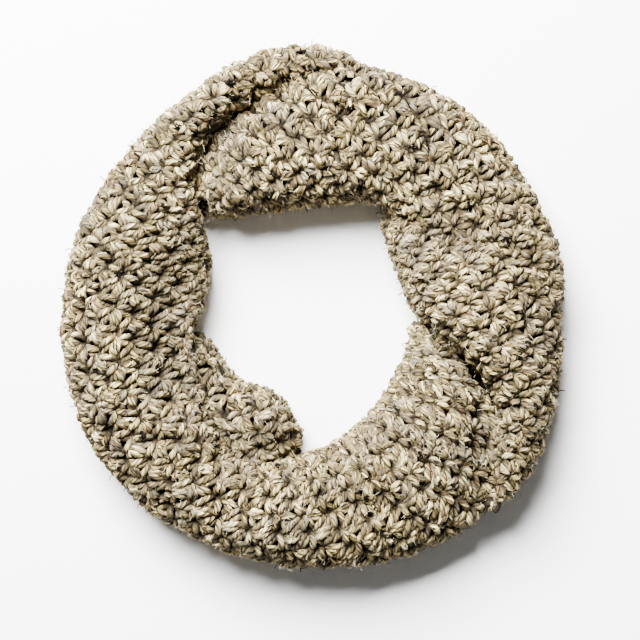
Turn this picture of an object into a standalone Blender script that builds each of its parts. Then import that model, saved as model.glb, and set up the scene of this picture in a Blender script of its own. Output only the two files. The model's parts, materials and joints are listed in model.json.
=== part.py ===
"""Infinity scarf, crocheted in a thick oatmeal yarn, twisted and laid flat in a ring.

The cloth is one soft band, joined end to end. Laid down, it folds over itself: each
stretch comes out from beneath the one before it at the ring's inner edge, widens, and
ends as a rounded roll along the outer rim. Five stretches show, and each is a wall of
cloth of its own. What they cover is one low rounded solid.

Every stretch is a table of cross-sections. A section is taken at a bearing around the
ring, in degrees from +X towards +Y, and its sizes are millimetres: radii from the ring's
middle, and heights above the surface that the scarf lies on.
"""
import math
from collections import namedtuple

import bmesh
import bpy

MM = 0.001

CLOTH = 9.0            # the crochet's thickness, two strands of a 6 mm yarn
UNDER_GAP = 0.8        # clear space where one stretch passes under another, along a section
TUCK = 8.0             # how far a side turns back under itself
WAIST = 0.36           # the widest line of a side, as a share of its height
FULLNESS = 2.3         # 2 gives elliptical sides, more gives squarer shoulders
THINNEST = 0.3         # a narrow end's wall, as a share of its width
NARROWEST_TUCK = 0.15  # and its tuck
CROWN_MARGIN = 1.3     # walls' width kept between the crown and either side
TUCK_STEPS = 2         # points from a foot to the waist
RISE_STEPS = 5         # points from the waist to the crown
CUTTER_DEPTH = 6.0     # how far a cutter reaches below the surface
END_GAP = 0.3          # degrees of bearing left clear past a stretch's end
SEAM_BEARING = 232.0   # where the bottom stretch runs on into the left one
TURN = 360.0           # degrees in the whole ring
SEAM_TURN = 0.12       # half the opening of that seam, in degrees

Row = namedtuple("Row", "bearing outer crown inner height outer_rest inner_rest")

# outer and inner are the widest radii, crown is the radius of the highest line and
# height its height. A rest is the height at which that side ends: 0 on the surface,
# or more where it lies on another stretch or on the hidden layers.
LEFT = [
    #   bearing outer crown inner height outer_rest inner_rest
    Row(SEAM_BEARING - SEAM_TURN, 163, 129, 97.0, 54, 0, 20),
    Row(223.6, 163, 127, 90.0, 55, 0, 20),
    Row(209.0, 162, 125, 82.0, 56, 0, 20),
    Row(196.0, 159, 123, 78.0, 57, 0, 16),
    Row(184.0, 156, 120, 71.0, 58, 0, 6),
    Row(172.0, 154, 117, 67.5, 58, 0, 0),
    Row(157.0, 152, 113, 69.5, 58, 0, 0),
    Row(148.0, 150, 113, 77.5, 57, 0, 3),
    Row(141.6, 149, 117, 90.0, 56, 0, 18),
    Row(136.0, 149, 125, 101.0, 55, 0, 20),
    Row(131.0, 150, 131, 111.0, 54, 0, 22),
    Row(126.0, 150, 136, 118.5, 53, 0, 22),
    Row(117.0, 153, 140, 126.5, 51, 0, 22),
    Row(107.0, 158, 145, 131.0, 49, 0, 22),
    Row(97.0, 161, 149, 136.0, 47, 0, 22),
    Row(88.0, 161.5, 151, 140.5, 46, 0, 24),
    Row(84.0, 160, 152, 144.5, 44, 0, 27),
    Row(80.0, 158, 153, 148.0, 41, 0, 30),
    Row(77.0, 156, 153, 150.5, 36, 0, 30),
]

TOP = [
    #   bearing outer crown inner height outer_rest inner_rest
    Row(148.0, 108, 103, 98.0, 34, 18, 18),
    Row(141.6, 110, 98, 89.0, 38, 18, 8),
    Row(137.0, 112, 94, 82.0, 42, 18, 0),
    Row(131.0, 120, 95, 74.5, 46, 18, 0),
    Row(124.6, 130, 98, 69.0, 49, 18, 0),
    Row(116.7, 134, 100, 65.5, 51, 18, 0),
    Row(107.0, 138, 101, 63.0, 53, 18, 0),
    Row(97.0, 143, 102, 61.5, 54, 18, 0),
    Row(88.0, 147, 104, 62.5, 55, 14, 0),
    Row(84.0, 150, 105, 63.5, 55, 10, 0),
    Row(80.0, 153, 106, 64.5, 56, 6, 0),
    Row(70.0, 153.5, 108, 69.0, 56, 0, 0),
    Row(62.0, 153, 110, 73.0, 56, 0, 4),
    Row(55.0, 154, 112, 74.0, 56, 0, 14),
    Row(48.0, 155, 114, 77.5, 56, 0, 22),
    Row(40.0, 154, 116, 80.5, 56, 0, 26),
    Row(33.0, 153, 118, 85.0, 55, 0, 29),
    Row(26.0, 154, 122, 95.0, 54, 0, 33),
    Row(18.0, 155, 127, 110.0, 52, 0, 38),
    Row(10.0, 157, 139, 128.0, 49, 0, 38),
    Row(4.0, 157, 147, 140.0, 46, 0, 34),
    Row(0.0, 156.5, 151, 146.0, 43, 0, 32),
    Row(-4.0, 156, 153.5, 151.0, 38, 0, 30),
]

RIGHT = [
    #   bearing outer crown inner height outer_rest inner_rest
    Row(61.0, 86, 82, 77.0, 32, 18, 18),
    Row(55.0, 88, 80, 71.0, 36, 18, 6),
    Row(48.0, 92, 78, 64.5, 40, 18, 0),
    Row(40.0, 96, 78, 60.5, 44, 18, 0),
    Row(33.0, 101, 82, 58.5, 47, 18, 0),
    Row(26.0, 112, 88, 57.5, 50, 18, 0),
    Row(18.0, 128, 96, 57.0, 54, 18, 0),
    Row(10.0, 144, 102, 57.5, 56, 14, 0),
    Row(2.0, 151, 106, 59.0, 57, 6, 0),
    Row(-3.0, 153.5, 108, 61.5, 57, 2, 2),
    Row(-6.0, 156, 109, 64.5, 57, 0, 6),
    Row(-11.5, 157, 114, 75.5, 57, 0, 16),
    Row(-15.0, 159, 121, 87.5, 56, 0, 21),
    Row(-19.5, 161, 129, 99.0, 55, 0, 22),
    Row(-24.0, 163, 141, 119.0, 53, 0, 22),
    Row(-28.0, 165, 147, 129.5, 51, 0, 22),
    Row(-33.0, 168, 152, 136.5, 49, 0, 22),
    Row(-38.0, 170, 157, 143.0, 47, 0, 24),
    Row(-42.0, 171, 160, 149.0, 46, 0, 28),
    Row(-46.0, 171, 164, 157.0, 43, 0, 31),
    Row(-50.0, 170, 167, 164.0, 38, 0, 31),
]

BOTTOM = [
    #   bearing outer crown inner height outer_rest inner_rest
    Row(2.0, 80, 74, 67.0, 26, 12, 10),
    Row(-4.0, 84, 75, 63.0, 31, 18, 0),
    Row(-9.0, 90, 76, 61.5, 35, 18, 0),
    Row(-14.0, 99, 80, 62.5, 39, 18, 0),
    Row(-19.5, 108, 86, 64.0, 43, 18, 0),
    Row(-24.0, 128, 93, 65.0, 45, 18, 0),
    Row(-28.0, 137, 99, 65.5, 47, 18, 0),
    Row(-33.0, 144, 103, 66.0, 48, 18, 0),
    Row(-38.0, 151, 107, 66.5, 49, 18, 0),
    Row(-42.0, 157, 110, 67.5, 50, 14, 0),
    Row(-46.0, 163, 113, 69.0, 50, 8, 0),
    Row(-50.0, 167, 116, 70.5, 51, 4, 0),
    Row(-54.0, 169, 117, 72.0, 51, 0, 0),
    Row(-60.0, 168, 120, 75.0, 52, 0, 0),
    Row(-70.0, 166, 123, 80.0, 53, 0, 0),
    Row(-80.0, 164, 126, 85.5, 53, 0, 0),
    Row(-90.0, 163, 128, 90.5, 53, 0, 0),
    Row(-96.0, 163, 130, 93.0, 53, 0, 8),
    Row(-101.0, 162.5, 131, 97.5, 53, 0, 18),
    Row(-108.0, 161.5, 132, 104.0, 53, 0, 20),
    Row(-116.0, 161.5, 132, 105.0, 53, 0, 20),
    Row(-124.0, 162.5, 130, 101.0, 54, 0, 20),
    Row(SEAM_BEARING + SEAM_TURN - TURN, 163, 129, 97.0, 54, 0, 20),
]

INNER = [
    #   bearing outer crown inner height outer_rest inner_rest
    Row(268.0, 96, 91, 86.0, 26, 18, 6),
    Row(264.0, 99, 88, 77.5, 33, 18, 0),
    Row(259.0, 105, 86, 69.0, 38, 18, 0),
    Row(252.0, 112, 86, 61.5, 42, 18, 0),
    Row(244.0, 112, 84, 59.0, 43, 18, 0),
    Row(237.0, 106, 81, 60.0, 41, 18, 0),
    Row(230.0, 101, 79, 64.0, 37, 18, 0),
    Row(220.0, 95, 77, 64.0, 34, 18, 0),
    Row(209.0, 89, 75, 64.0, 32, 18, 0),
    Row(199.0, 85, 74, 65.5, 30, 18, 0),
    Row(190.0, 84, 77, 70.0, 27, 18, 0),
    Row(185.0, 84, 80, 76.0, 24, 18, 8),
]

CoreRow = namedtuple("CoreRow", "bearing outer inner height")

# The hidden layers run low where two stretches lie side by side above them, and fill
# the hollow where one stretch covers the whole width.
HIDDEN = [
    #       bearing outer inner height
    CoreRow(180.0, 136, 92, 38),
    CoreRow(166.0, 134, 92, 38),
    CoreRow(155.0, 132, 95, 36),
    CoreRow(146.0, 130, 103, 16),
    CoreRow(139.0, 130, 104, 16),
    CoreRow(130.0, 130, 95, 16),
    CoreRow(115.0, 134, 87, 16),
    CoreRow(95.0, 138, 84, 16),
    CoreRow(84.0, 136, 84, 16),
    CoreRow(74.0, 134, 90, 34),
    CoreRow(66.0, 134, 92, 36),
    CoreRow(58.0, 132, 92, 17),
    CoreRow(40.0, 132, 82, 16),
    CoreRow(20.0, 134, 80, 16),
    CoreRow(4.0, 132, 80, 17),
    CoreRow(-2.0, 134, 86, 18),
    CoreRow(-8.0, 136, 88, 16),
    CoreRow(-20.0, 140, 86, 16),
    CoreRow(-38.0, 146, 86, 16),
    CoreRow(-50.0, 148, 90, 18),
    CoreRow(-60.0, 148, 95, 34),
    CoreRow(-80.0, 144, 104, 36),
    CoreRow(-90.0, 143, 113, 30),
    CoreRow(-98.0, 142, 114, 17),
    CoreRow(-120.0, 142, 96, 16),
    CoreRow(-150.0, 140, 92, 16),
    CoreRow(-166.0, 138, 92, 17),
]
CORE_STEPS = 8         # points over the hidden layers' back
CORE_TURN = 7.5        # degrees between their sections
STRETCH_TURN = 5.0     # and between the stretches' sections
TIGHT_TURN = 4.0       # closer together on the right, where the crease is steepest


def rate(here, there, field):
    """Change per degree of one column between two rows."""
    return (getattr(there, field) - getattr(here, field)) / (there.bearing - here.bearing)


def slope(rows, index, field):
    """Slope of the smooth curve at a row: 0 at a column's peaks, so it never overshoots."""
    if index in (0, len(rows) - 1):
        return 0.0
    before = rate(rows[index - 1], rows[index], field)
    after = rate(rows[index], rows[index + 1], field)
    return 2 * before * after / (before + after) if before * after > 0 else 0.0


def read(rows, bearing):
    """The section at a bearing, by a smooth curve through the rows of a table."""
    index = 0
    while index < len(rows) - 2 and bearing < rows[index + 1].bearing:
        index += 1
    here, there = rows[index], rows[index + 1]
    span = there.bearing - here.bearing
    s = (bearing - here.bearing) / span
    values = {"bearing": bearing}
    for field in here._fields[1:]:
        start, end = getattr(here, field), getattr(there, field)
        leave = slope(rows, index, field) * span
        arrive = slope(rows, index + 1, field) * span
        values[field] = (start * (1 + 2 * s) * (1 - s) ** 2 + end * (3 - 2 * s) * s * s
                         + leave * s * (1 - s) ** 2 - arrive * (1 - s) * s * s)
    return type(here)(**values)


def side(brim, crown, height, rest, tuck):
    """Points (radius, height) from a side's turned-under foot to just below its crown."""
    waist = rest + WAIST * (height - rest)
    inward = math.copysign(tuck, crown - brim)
    points = []
    for step in range(TUCK_STEPS):
        turn = 0.5 * math.pi * (1 - step / TUCK_STEPS)
        points.append((brim + inward * (1 - math.cos(turn)),
                       waist - (waist - rest) * math.sin(turn)))
    for step in range(RISE_STEPS):
        turn = 0.5 * math.pi * step / RISE_STEPS
        points.append((crown + (brim - crown) * math.cos(turn) ** (2 / FULLNESS),
                       waist + (height - waist) * math.sin(turn) ** (2 / FULLNESS)))
    return points


def arch(row, inset=0.0):
    """A section's outer line from outer foot to inner foot, moved in by inset."""
    width = row.outer - row.inner
    wall = min(CLOTH, THINNEST * width)
    tuck = min(TUCK, NARROWEST_TUCK * width)
    margin = CROWN_MARGIN * wall
    crown = min(max(row.crown, row.inner + margin), row.outer - margin)
    top = row.height - inset
    outer = side(row.outer - inset, crown, top, row.outer_rest, tuck)
    inner = side(row.inner + inset, crown, top, row.inner_rest, tuck)
    return outer + [(crown, top)] + inner[::-1]


def wall_section(row):
    """The cloth's outer line, then its inner line point for point."""
    wall = min(CLOTH, THINNEST * (row.outer - row.inner))
    return arch(row), arch(row, wall)


def bearings(rows, step):
    """Evenly spaced bearings from a table's first row to its last."""
    first, last = rows[0].bearing, rows[-1].bearing
    count = max(2, round(abs(last - first) / step))
    return [first + (last - first) * i / count for i in range(count + 1)]


def place(bm, bearing, points):
    """One vertex for each (radius, height) of a section."""
    angle = math.radians(bearing)
    return [bm.verts.new((r * math.cos(angle) * MM, r * math.sin(angle) * MM, z * MM))
            for r, z in points]


def bridge(bm, a, b, closed):
    """Quads between two rows of vertices."""
    count = len(a)
    for i in range(count if closed else count - 1):
        j = (i + 1) % count
        bm.faces.new((a[i], a[j], b[j], b[i]))


def finish(name, bm, colour):
    """A named object from a mesh, with its faces outwards, shaded smooth."""
    bmesh.ops.recalc_face_normals(bm, faces=bm.faces)
    mesh = bpy.data.meshes.new(name)
    bm.to_mesh(mesh)
    bm.free()
    mesh.shade_smooth()
    obj = bpy.data.objects.new(name, mesh)
    bpy.context.collection.objects.link(obj)
    if colour:
        mesh.materials.append(cloth_material(name, colour))
    return obj


def cloth_material(name, colour):
    """Oatmeal wool: matt, in the shade of one stretch."""
    material = bpy.data.materials.new(name + "_wool")
    material.use_nodes = True
    surface = material.node_tree.nodes["Principled BSDF"]
    surface.inputs["Base Color"].default_value = (*colour, 1)
    surface.inputs["Roughness"].default_value = 0.9
    surface.inputs["Metallic"].default_value = 0.0
    return material


def stretch(name, rows, colour, step):
    """A wall of cloth swept through a table's sections, closed at both ends."""
    bm = bmesh.new()
    sections = []
    for bearing in bearings(rows, step):
        outside, inside = wall_section(read(rows, bearing))
        sections.append((place(bm, bearing, outside), place(bm, bearing, inside)))
    for (out_a, in_a), (out_b, in_b) in zip(sections, sections[1:]):
        bridge(bm, out_a + in_a[::-1], out_b + in_b[::-1], closed=True)
    for outside, inside in (sections[0], sections[-1]):
        bridge(bm, outside, inside, closed=False)
    return finish(name, bm, colour)


def cutter(name, rows, step):
    """The space that a stretch and everything under it takes, grown all round."""
    bm = bmesh.new()
    sections = []
    spread = bearings(rows, step)
    beyond = math.copysign(END_GAP, spread[0] - spread[-1])
    stations = list(zip(spread, spread))
    stations = [(spread[0] + beyond, spread[0])] + stations + [(spread[-1] - beyond, spread[-1])]
    for bearing, source in stations:
        line = arch(read(rows, source), -UNDER_GAP)
        loop = [(line[0][0], -CUTTER_DEPTH)] + line + [(line[-1][0], -CUTTER_DEPTH)]
        sections.append(place(bm, bearing, loop))
    for a, b in zip(sections, sections[1:]):
        bridge(bm, a, b, closed=True)
    for loop in (sections[0], sections[-1]):
        bm.faces.new(loop)
    obj = finish(name, bm, None)
    obj.hide_render = True
    obj.display_type = "WIRE"
    return obj


def cut(obj, tool):
    """Take a neighbour's space out of a stretch."""
    modifier = obj.modifiers.new("under " + tool.name, "BOOLEAN")
    modifier.operation = "DIFFERENCE"
    modifier.solver = "EXACT"
    modifier.object = tool


def hidden_layers(name, rows, colour, step):
    """The folds that nothing shows: one low ring with a round back and a flat foot."""
    bm = bmesh.new()
    closing = rows + [rows[0]._replace(bearing=rows[0].bearing - TURN)]
    rings = []
    for bearing in bearings(closing, step)[:-1]:
        row = read(closing, bearing)
        middle, half = 0.5 * (row.outer + row.inner), 0.5 * (row.outer - row.inner)
        points = []
        for i in range(CORE_STEPS + 1):
            turn = math.pi * i / CORE_STEPS
            points.append((middle + half * math.cos(turn), row.height * math.sin(turn)))
        rings.append(place(bm, bearing, points))
    for a, b in zip(rings, rings[1:] + rings[:1]):
        bridge(bm, a, b, closed=True)
    return finish(name, bm, colour)


def clear_scene():
    for obj in list(bpy.data.objects):
        bpy.data.objects.remove(obj, do_unlink=True)


def centre(objects):
    """Put the objects under one empty, with the middle of their outline over the origin."""
    root = bpy.data.objects.new("scarf", None)
    bpy.context.collection.objects.link(root)
    corners = [vertex.co for obj in objects for vertex in obj.data.vertices]
    for axis in range(2):
        values = [corner[axis] for corner in corners]
        root.location[axis] = -0.5 * (min(values) + max(values))
    for obj in objects:
        obj.parent = root


def main():
    clear_scene()
    left = stretch("left_stretch", LEFT, (0.36, 0.30, 0.22), STRETCH_TURN)
    top = stretch("top_stretch", TOP, (0.40, 0.34, 0.25), STRETCH_TURN)
    right = stretch("right_stretch", RIGHT, (0.34, 0.29, 0.21), TIGHT_TURN)
    bottom = stretch("bottom_stretch", BOTTOM, (0.42, 0.35, 0.26), STRETCH_TURN)
    inner = stretch("inner_fold", INNER, (0.30, 0.26, 0.19), STRETCH_TURN)
    core = hidden_layers("hidden_layers", HIDDEN, (0.20, 0.17, 0.13), CORE_TURN)

    left_space = cutter("left_space", LEFT, STRETCH_TURN)
    top_space = cutter("top_space", TOP, STRETCH_TURN)
    right_space = cutter("right_space", RIGHT, TIGHT_TURN)
    bottom_space = cutter("bottom_space", BOTTOM, STRETCH_TURN)
    cut(top, left_space)
    cut(right, top_space)
    cut(bottom, right_space)
    cut(inner, left_space)
    cut(inner, bottom_space)
    spaces = [left_space, top_space, right_space, bottom_space]
    centre([left, top, right, bottom, inner, core] + spaces)


main()
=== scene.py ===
# %% [markdown]
# # An infinity scarf, crocheted in chunky tweed yarn
#
# The real scarf is one long band of linen stitch, joined end to end, given a twist and
# laid down in a ring. It folds over itself, so that five stretches of it show. The frame
# holds those stretches as plain walls of the right shape. This notebook reads their
# outer form, works out how the cloth lies flat on it, and then crochets that cloth:
# every visible stitch is a length of five-ply yarn.

import json
import math
from collections import namedtuple

import bpy
import numpy as np
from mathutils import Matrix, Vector
from mathutils.bvhtree import BVHTree

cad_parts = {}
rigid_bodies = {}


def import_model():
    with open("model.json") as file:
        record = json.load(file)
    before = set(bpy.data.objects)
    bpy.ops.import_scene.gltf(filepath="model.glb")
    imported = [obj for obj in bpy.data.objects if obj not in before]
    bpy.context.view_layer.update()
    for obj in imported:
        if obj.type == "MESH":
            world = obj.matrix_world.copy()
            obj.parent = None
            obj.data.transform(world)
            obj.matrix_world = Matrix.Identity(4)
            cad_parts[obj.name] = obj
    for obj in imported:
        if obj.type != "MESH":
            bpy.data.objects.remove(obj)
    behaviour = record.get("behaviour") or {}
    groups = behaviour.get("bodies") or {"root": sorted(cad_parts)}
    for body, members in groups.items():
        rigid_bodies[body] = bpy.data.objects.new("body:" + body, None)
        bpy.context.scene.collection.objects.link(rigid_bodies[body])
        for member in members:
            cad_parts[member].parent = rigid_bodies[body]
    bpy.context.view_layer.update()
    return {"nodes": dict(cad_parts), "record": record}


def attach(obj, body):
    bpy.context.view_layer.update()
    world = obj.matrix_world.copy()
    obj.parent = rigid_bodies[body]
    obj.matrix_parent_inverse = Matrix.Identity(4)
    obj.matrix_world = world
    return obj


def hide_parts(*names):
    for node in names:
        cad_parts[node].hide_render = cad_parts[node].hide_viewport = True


for stray in list(bpy.data.objects):
    bpy.data.objects.remove(stray, do_unlink=True)
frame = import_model()

MM = 0.001
print("frame:", sorted(frame["nodes"]))


def new_mesh(name, corners, edges=(), faces=()):
    """A mesh of corners in metres, and the edges or faces between them."""
    mesh = bpy.data.meshes.new(name)
    mesh.from_pydata(corners, edges, faces)
    return mesh


def new_object(name, data):
    """An object in the scene."""
    obj = bpy.data.objects.new(name, data)
    bpy.context.scene.collection.objects.link(obj)
    return obj


def triangles(obj):
    """How many triangles its faces make."""
    return sum(len(p.vertices) - 2 for p in obj.data.polygons)


# %% [markdown]
# ## Reading the form
#
# A section across the ring is what a knife would show if it cut the scarf along one
# bearing. Rays sent in from outside, towards a point inside the roll, find the outer
# line of each section. Where a neighbour lies over a stretch, the frame's wall was cut
# away, so those hits are dropped and the line is carried on beneath the neighbour: real
# cloth doesn't stop at the place where it goes out of sight.

# %% Where each stretch runs
neck = next(o for o in frame["record"]["physics"]["openings"] if o["name"] == "neck_opening")
RING_MIDDLE = (np.array(neck["box_m"][0]) + np.array(neck["box_m"][1])) / 2
RING_MIDDLE[2] = 0.0

Run = namedtuple("Run", "node first last under")
Patch = namedtuple("Patch", "name runs anchor deep closed dive")

# Bearings in degrees from +X towards +Y. Each run goes from where a stretch comes out
# from under its neighbours to the tip of its roll. The crease between it and the
# neighbour over it stays deep as far as the bearing "deep", and is gone by "closed".
# There the cloth sinks by "dive" mm where it passes under the neighbour.
PATCHES = [
    Patch("rim", [Run("bottom_stretch", 361.4, 232.6, ["right_stretch"]),
                  Run("left_stretch", 231.4, 77.6, [])], 205.0, 336.0, 306.0, 11.0),
    Patch("top", [Run("top_stretch", 147.6, 1.0, ["left_stretch"])], 95.0, 112.0, 92.0, 13.0),
    Patch("right", [Run("right_stretch", 60.6, -49.4, ["top_stretch"])], 5.0, 48.0, 14.0, 6.0),
    Patch("inner", [Run("inner_fold", 267.6, 190.0, ["left_stretch", "bottom_stretch"])],
          235.0, 210.0, 170.0, 7.0),
]
SECTION_TURN = 2.5     # degrees between sections
RAYS = 140             # rays in one section
RAYS_TURN = (-50, 230)   # degrees they turn through, from outside the ring, over the top
FAR = 0.25             # they start this far out, in metres
AIM_UP = 0.3           # and aim this far up the wall, as a share of its height
CUT_NEAR = 0.0017      # a hit this near a neighbour is on the cut and not on the cloth
STEP = 3.0             # mm between the points of a section
REACH = 132.0          # mm from the crown to the last point either way
CROWN_FROM = 0.6       # the crown is sought above this share of a section's height
CARRIED_BEFORE = 45    # mm that a line is carried on at the outside of the ring
CARRIED_AFTER = 30     # and at its hole
SOFTEN_CROWN = 6       # rounds of smoothing: of the crown's way round the ring,
SOFTEN_LINE = 3        # of each line,
SOFTEN_FORM = 2        # and from section to section
NARROWEST = 0.005      # a wall narrower than this, in metres, is all hidden
TURN_UNDER = 26.0      # mm, how tightly a hidden edge is taken to curl down
DIVE_REACH = 18.0      # mm from a neighbour's edge over which the cloth under it sinks
FIN_WIDE = 70.0        # mm, the width under which a roll's tip starts to sink
FIN_SINK = 6.0         # mm that it has sunk into its neighbour at the very tip
MOST_SHEAR = 0.35      # mm that rows may slide past each other, for each mm between them
CREASE_FADE = 0.6      # how a crease fades to its ends: less keeps it deep for longer

# Soft troughs (and ridges, where deep is negative) that the cloth has by itself. Each
# runs along a stretch from one bearing to another, at a distance from the crown that is
# positive towards the ring's hole.
Crease = namedtuple("Crease", "patch first last s_first s_last deep wide")
CREASES = [
    #      patch     first   last  s_first s_last deep  wide
    Crease("rim",    230.0, 136.0,  42.0,  34.0,  15.0, 24.0),   # the slope into the hole
    Crease("rim",    224.0, 192.0,  34.0,  22.0,   6.0,  9.0),   # the dent beside the fold
    Crease("rim",    206.0, 170.0, -18.0, -34.0,   3.0, 10.0),
    Crease("rim",    168.0, 128.0,  -6.0, -22.0,   2.5,  9.0),
    Crease("rim",    262.0, 238.0,   6.0,  24.0,   4.0, 10.0),
    Crease("rim",    300.0, 268.0, -14.0,   2.0,   3.0,  9.0),
    Crease("rim",    346.0, 312.0,  20.0,  26.0,   3.5, 11.0),
    Crease("top",    100.0,  58.0, -20.0, -12.0,   2.5, 10.0),
    Crease("top",     60.0,  24.0,  26.0,  12.0,   5.0, 13.0),
    Crease("top",     44.0,   8.0, -24.0, -30.0,   3.0, 11.0),
    Crease("right",   34.0,   2.0,   6.0,  -8.0,   3.0, 10.0),
    Crease("right",   14.0, -24.0, -26.0, -22.0,   4.0, 10.0),
    Crease("right",   -4.0, -36.0,  14.0,   6.0,  -3.0, 12.0),
    Crease("right",    4.0, -48.0,  84.0,  20.0,   4.0, 20.0),   # the soft valley between
    Crease("rim",    352.0, 308.0,  -2.0, -40.0,   4.0, 18.0),   # these two stretches
    Crease("right",  -18.0, -60.0,  56.0,   8.0,   1.5, 12.0),   # and its deeper lower end
    Crease("rim",    340.0, 300.0, -18.0, -44.0,   1.5, 12.0),
    Crease("inner",  256.0, 226.0,  14.0,   8.0,   3.0,  7.0),
    Crease("inner",  236.0, 206.0,  -8.0,  -4.0,   3.0,  7.0),
]

# %% Rays against the frame's walls
walls = {}
for name, node in frame["nodes"].items():
    corners = [v.co.copy() for v in node.data.vertices]
    walls[name] = BVHTree.FromPolygons(corners, [tuple(p.vertices) for p in node.data.polygons])


def place(bearing, radius, height):
    """A point of a section, in the frame."""
    turn = math.radians(bearing)
    return Vector((RING_MIDDLE[0] + radius * math.cos(turn),
                   RING_MIDDLE[1] + radius * math.sin(turn), height))


def spine(node, bearing):
    """A point inside the roll, from which the whole outer line can be seen."""
    turn = math.radians(bearing)
    across = np.array([-math.sin(turn), math.cos(turn), 0])
    along = np.array([math.cos(turn), math.sin(turn), 0])
    mesh = frame["nodes"][node].data
    at = np.array([v.co for v in mesh.vertices]) - RING_MIDDLE
    ends = at[np.array([e.vertices for e in mesh.edges])]
    side = ends @ across
    crossing = side[:, 0] * side[:, 1] < 0
    ends, side = ends[crossing], side[crossing]
    share = (side[:, 0] / (side[:, 0] - side[:, 1]))[:, None]
    hits = ends[:, 0] + share * (ends[:, 1] - ends[:, 0])
    hits = hits[hits @ along > 0]
    radii, heights = hits @ along, hits[:, 2]
    if len(hits) == 0 or np.ptp(radii) < NARROWEST:
        return None
    low = heights.min()
    return 0.5 * (radii.min() + radii.max()), low + AIM_UP * (heights.max() - low)


def outer_line(run, bearing):
    """The stretch's outer line as (radius, height) from outside in, and which end is cut."""
    radius, height = spine(run.node, bearing)
    kept, hidden = [], []
    for turn in np.radians(np.linspace(*RAYS_TURN, RAYS)):
        out_r, out_z = math.cos(turn), math.sin(turn)
        start = place(bearing, radius + FAR * out_r, height + FAR * out_z)
        aim = place(bearing, radius, height) - start
        hit = walls[run.node].ray_cast(start, aim.normalized(), FAR)[0]
        if hit is None:
            continue
        covered = any(walls[over].find_nearest(hit, CUT_NEAR)[0] for over in run.under)
        flat = hit - Vector(RING_MIDDLE)
        point = (math.hypot(flat.x, flat.y) / MM, flat.z / MM)
        (hidden if covered else kept).append((turn, *point))
    kept = np.array(kept)
    top = kept[np.argmax(kept[:, 2]), 0]
    for turn, *_ in hidden:
        kept = kept[kept[:, 0] > turn] if turn < top else kept[kept[:, 0] < turn]
    cut = bool(hidden) and min(h[0] for h in hidden) < kept[0, 0]
    return kept[:, 1:], cut


def carried_on(line, length, curl):
    """Points past a line's last one, a millimetre apart, each turned by "curl" radians."""
    (r0, z0), (r1, z1) = line[-3], line[-1]
    heading = math.atan2(z1 - z0, r1 - r0)
    turned = heading + curl * np.arange(1, length + 1)
    return np.column_stack([r1 + np.cumsum(np.cos(turned)), z1 + np.cumsum(np.sin(turned))])


# %% One lattice of points for each patch of cloth
Cloth = namedtuple("Cloth", "name bearings s grid low high cut across facing")
s_steps = np.arange(-REACH, REACH + STEP, STEP)


def smooth(values, rounds):
    """Each value moved towards its neighbours along the first axis, ends held."""
    for _ in range(rounds):
        values = np.concatenate([values[:1], (values[:-2] + 2 * values[1:-1] + values[2:]) / 4,
                                 values[-1:]])
    return values


def outwards(points):
    """The unit direction out of the cloth at each lattice point."""
    normal = np.cross(np.gradient(points, axis=0), np.gradient(points, axis=1))
    normal /= np.maximum(np.linalg.norm(normal, axis=2, keepdims=True), 1e-9)
    rows, columns = points.shape[:2]
    return normal * math.copysign(1, normal[rows // 2, columns // 2, 2])


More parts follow.
